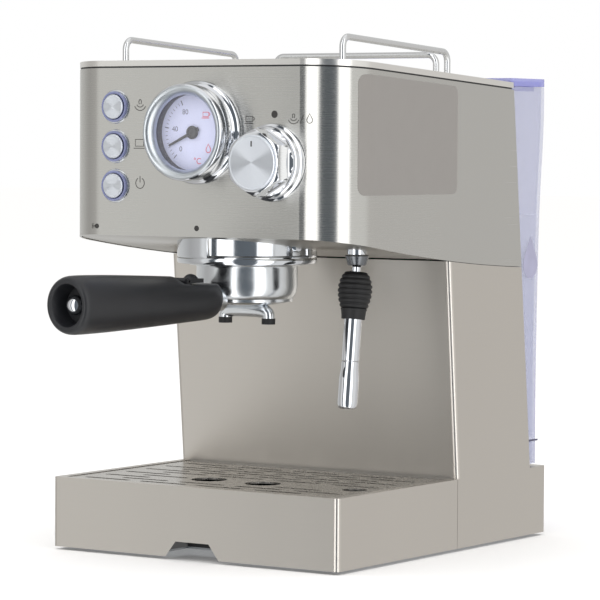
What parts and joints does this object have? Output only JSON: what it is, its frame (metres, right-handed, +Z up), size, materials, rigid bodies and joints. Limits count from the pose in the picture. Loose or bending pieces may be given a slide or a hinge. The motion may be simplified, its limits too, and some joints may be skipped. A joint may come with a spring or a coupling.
{
  "type": "espresso machine",
  "caption": "Brushed steel pump espresso machine with gauge, push buttons, selector knob, locking portafilter, steam wand, drip tray and rear water tank.",
  "frame": {"origin": "on the table plane, under the middle of the whole machine with its portafilter handle and tank", "axes": "+Z up, +Y from the control panel towards the water tank, +X to the right as seen from the front"},
  "size_m": [0.2103, 0.3532, 0.3168],
  "materials": {
    "brushed_steel": "brushed",
    "grid_steel": "satin",
    "satin_floor": "satin",
    "zinc_plate": "zinc plated",
    "chrome": "polished",
    "spun_aluminium": "spun",
    "cast_aluminium": "cast",
    "lit_ring": "gloss",
    "black_plastic": "matt",
    "grey_plastic": "matt",
    "handle_black": "satin",
    "needle_black": "matt",
    "dial_face": "matt",
    "label_film": "film",
    "clear_glass": "clear",
    "tank_clear": "clear plastic",
    "tank_lid_clear": "tinted clear plastic",
    "black_rubber": "matt",
    "brass": "turned",
    "copper_pipe": "drawn",
    "hose_silicone": "silicone",
    "pump_black": "moulded",
    "board_green": "board"
  },
  "bodies": {
    "machine": {"chassis_plate": "zinc_plate", "rubber_feet": "black_rubber", "base_shell": "brushed_steel", "cord_gland": "black_plastic", "tower_shell": "brushed_steel", "back_panel": "grey_plastic", "head_shell": "brushed_steel", "head_floor": "satin_floor", "top_cover": "brushed_steel", "top_seam": "black_plastic", "cup_rails": "chrome", "side_label": "label_film", "button_rings": "lit_ring", "switch_block": "black_plastic", "gauge_bezel": "chrome", "gauge_lens": "clear_glass", "gauge_dial": "dial_face", "gauge_case": "black_plastic", "knob_ring": "chrome", "steam_valve": "brass", "group_collar": "chrome", "group_head": "cast_aluminium", "group_gasket": "black_rubber", "shower_screen": "grid_steel", "boiler_lower": "cast_aluminium", "boiler_upper": "cast_aluminium", "thermostat": "grey_plastic", "wand_socket": "chrome", "tank_dock": "grey_plastic", "pump_bracket": "zinc_plate", "pump_mounts": "black_rubber", "pump": "pump_black", "water_hoses": "hose_silicone", "steam_pipes": "copper_pipe", "control_board": "board_green", "machine_screws": "zinc_plate"},
    "steam_button": {"button_steam": "spun_aluminium"},
    "brew_button": {"button_brew": "spun_aluminium"},
    "power_button": {"button_power": "spun_aluminium"},
    "knob": {"selector_knob": "chrome", "knob_cap": "spun_aluminium", "valve_spindle": "brass"},
    "needle": {"gauge_needle": "needle_black"},
    "portafilter": {"portafilter_body": "chrome", "filter_basket": "grid_steel", "portafilter_handle": "handle_black", "handle_fittings": "chrome", "spout": "chrome", "spout_tips": "black_rubber"},
    "clip": {"basket_clip": "handle_black"},
    "wand_swivel": {"wand_nut": "grey_plastic"},
    "steam_wand": {"wand_pipe": "chrome", "wand_grip": "black_rubber"},
    "sleeve": {"froth_sleeve": "chrome"},
    "drip_tray": {"tray_shell": "brushed_steel", "tray_basin": "black_plastic"},
    "grid": {"drip_grid": "grid_steel"},
    "water_tank": {"tank_body": "tank_clear"},
    "lid": {"tank_lid": "tank_lid_clear"},
    "outlet_valve": {"tank_valve": "grey_plastic"}
  },
  "joints": [
    {"name": "steam_button_press", "type": "slide", "parent": "machine", "child": "steam_button", "axis": [0, 1, 0], "range_m": [0, 0.0025], "stiffness_N_per_m": 400},
    {"name": "brew_button_press", "type": "slide", "parent": "machine", "child": "brew_button", "axis": [0, 1, 0], "range_m": [0, 0.0025], "stiffness_N_per_m": 400},
    {"name": "power_button_press", "type": "slide", "parent": "machine", "child": "power_button", "axis": [0, 1, 0], "range_m": [0, 0.0025], "stiffness_N_per_m": 400},
    {"name": "knob_turn", "type": "hinge", "parent": "machine", "child": "knob", "pos_m": [0.054, -0.07529, 0.24], "axis": [0, 1, 0], "range_deg": [-50, 50]},
    {"name": "needle_sweep", "type": "hinge", "parent": "machine", "child": "needle", "pos_m": [0, -0.07329, 0.2575], "axis": [0, 1, 0], "range_deg": [-25, 215], "stiffness_Nm_per_rad": 0.002},
    {"name": "portafilter_lock", "type": "hinge", "parent": "machine", "child": "portafilter", "pos_m": [0, -0.01579, 0.178], "axis": [0, 0, 1], "range_deg": [-48, 0]},
    {"name": "clip_flip", "type": "hinge", "parent": "portafilter", "child": "clip", "pos_m": [-0.00648, -0.07745, 0.1688], "axis": [0.9945, -0.1045, 0], "range_deg": [0, 80]},
    {"name": "wand_turn", "type": "hinge", "parent": "machine", "child": "wand_swivel", "pos_m": [0.077, -0.01129, 0.181], "axis": [0, 0, 1], "range_deg": [-50, 50]},
    {"name": "wand_tilt", "type": "hinge", "parent": "wand_swivel", "child": "steam_wand", "pos_m": [0.077, -0.01129, 0.181], "axis": [-1, 0, 0], "range_deg": [-6.5, 28]},
    {"name": "sleeve_off", "type": "slide", "parent": "steam_wand", "child": "sleeve", "axis": [0, -0.1132, -0.9936], "range_m": [0, 0.03]},
    {"name": "tray_pull", "type": "slide", "parent": "machine", "child": "drip_tray", "axis": [0, -1, 0], "range_m": [0, 0.15]},
    {"name": "grid_lift", "type": "slide", "parent": "drip_tray", "child": "grid", "axis": [0, 0, 1], "range_m": [0, 0.04]},
    {"name": "tank_lift", "type": "slide", "parent": "machine", "child": "water_tank", "axis": [0, 0, 1], "range_m": [0, 0.25]},
    {"name": "lid_open", "type": "hinge", "parent": "water_tank", "child": "lid", "pos_m": [0, 0.17681, 0.2883], "axis": [-1, 0, 0], "range_deg": [0, 100]},
    {"name": "valve_rise", "type": "slide", "parent": "water_tank", "child": "outlet_valve", "axis": [0, 0, 1], "range_m": [0, 0.002], "stiffness_N_per_m": 50}
  ]
}
